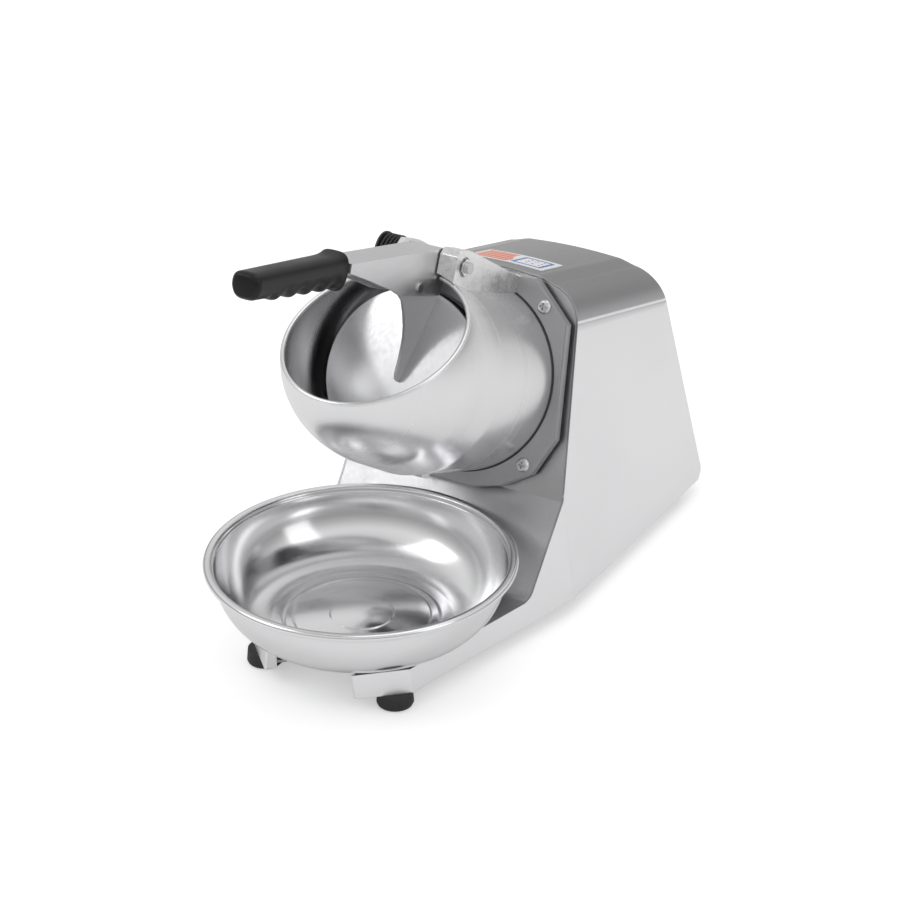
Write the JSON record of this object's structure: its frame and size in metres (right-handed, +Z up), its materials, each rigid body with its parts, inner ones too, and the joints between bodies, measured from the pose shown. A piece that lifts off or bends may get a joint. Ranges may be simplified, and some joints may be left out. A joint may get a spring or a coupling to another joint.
{
  "type": "ice_crusher",
  "caption": "Electric countertop ice crusher with a tilted drum, a spring-held feed lever, a spinning blade disc and a loose steel bowl on a tray between two arms.",
  "frame": {"origin": "middle of the footprint on the floor, under the bounding box", "axes": "+X is the right side seen from the front, +Y is the back, +Z is up"},
  "size_m": [0.22, 0.484, 0.3358],
  "materials": {
    "steel_satin": "satin",
    "steel_dark": "satin",
    "black_rubber": "matte",
    "zinc_steel": "satin",
    "polished_aluminium": "polished",
    "cast_grey": "satin",
    "bright_screw": "polished",
    "cast_aluminium": "cast",
    "black_plastic": "matte",
    "spring_black": "satin",
    "lever_steel": "brushed",
    "plate_steel": "polished",
    "bronze": "satin",
    "black_vinyl": "satin",
    "disc_steel": "polished",
    "rotor_iron": "satin",
    "motor_paint": "satin",
    "copper_winding": "satin",
    "white_plastic": "matte",
    "red_plastic": "gloss",
    "label_print": "gloss",
    "bowl_steel": "polished"
  },
  "bodies": {
    "machine": {"hood": "steel_satin", "arm_left": "steel_satin", "arm_right": "steel_satin", "front_panel": "steel_satin", "rear_panel": "steel_satin", "base_plate": "steel_dark", "foot_front_left": "black_rubber", "foot_front_right": "black_rubber", "foot_rear_left": "black_rubber", "foot_rear_right": "black_rubber", "foot_screws": "zinc_steel", "drum": "polished_aluminium", "drum_nose": "polished_aluminium", "drum_flange": "cast_grey", "drum_pad": "black_rubber", "flange_screws": "bright_screw", "drum_bolt": "bright_screw", "hinge_bracket": "cast_aluminium", "hinge_pin": "zinc_steel", "hinge_nut": "bright_screw", "spring_sleeve": "black_plastic", "return_spring": "spring_black", "bearing_block": "cast_aluminium", "front_bearing": "bright_screw", "rear_bearing": "bright_screw", "motor_can": "motor_paint", "stator": "copper_winding", "motor_cap": "cast_aluminium", "motor_cradle": "steel_dark", "capacitor": "white_plastic", "terminal_block": "white_plastic", "switch_frame": "black_plastic", "cord_gland": "black_plastic", "rear_screws": "bright_screw", "roof_label": "label_print"},
    "lever_arm": {"lever": "lever_steel", "press_plate": "plate_steel", "lever_bush": "bronze", "lever_rivet": "bright_screw", "grip": "black_vinyl"},
    "cutter": {"blade_disc": "disc_steel", "blades": "disc_steel", "blade_screws": "zinc_steel", "disc_nut": "bright_screw", "drive_shaft": "zinc_steel", "rotor": "rotor_iron", "fan": "black_plastic"},
    "bowl_body": {"bowl": "bowl_steel"},
    "rocker_body": {"switch_rocker": "red_plastic"}
  },
  "joints": [
    {"name": "lever_hinge", "type": "hinge", "parent": "machine", "child": "lever_arm", "pos_m": [0, -0.02235, 0.26902], "axis": [1, 0, 0], "range_deg": [-60, 9], "stiffness_Nm_per_rad": 1.2, "springref_deg": -14.32, "deforming": ["return_spring"]},
    {"name": "disc_spin", "type": "hinge", "parent": "machine", "child": "cutter", "pos_m": [0, 0.02705, 0.1625], "axis": [0, 0.9304, -0.3665], "continuous": true},
    {"name": "bowl_slide", "type": "slide", "parent": "machine", "child": "bowl_body", "axis": [0, -1, 0], "range_m": [0, 0.24]},
    {"name": "rocker_hinge", "type": "hinge", "parent": "machine", "child": "rocker_body", "pos_m": [-0.052, 0.21591, 0.08179], "axis": [1, 0, 0], "range_deg": [-18, 0]}
  ]
}
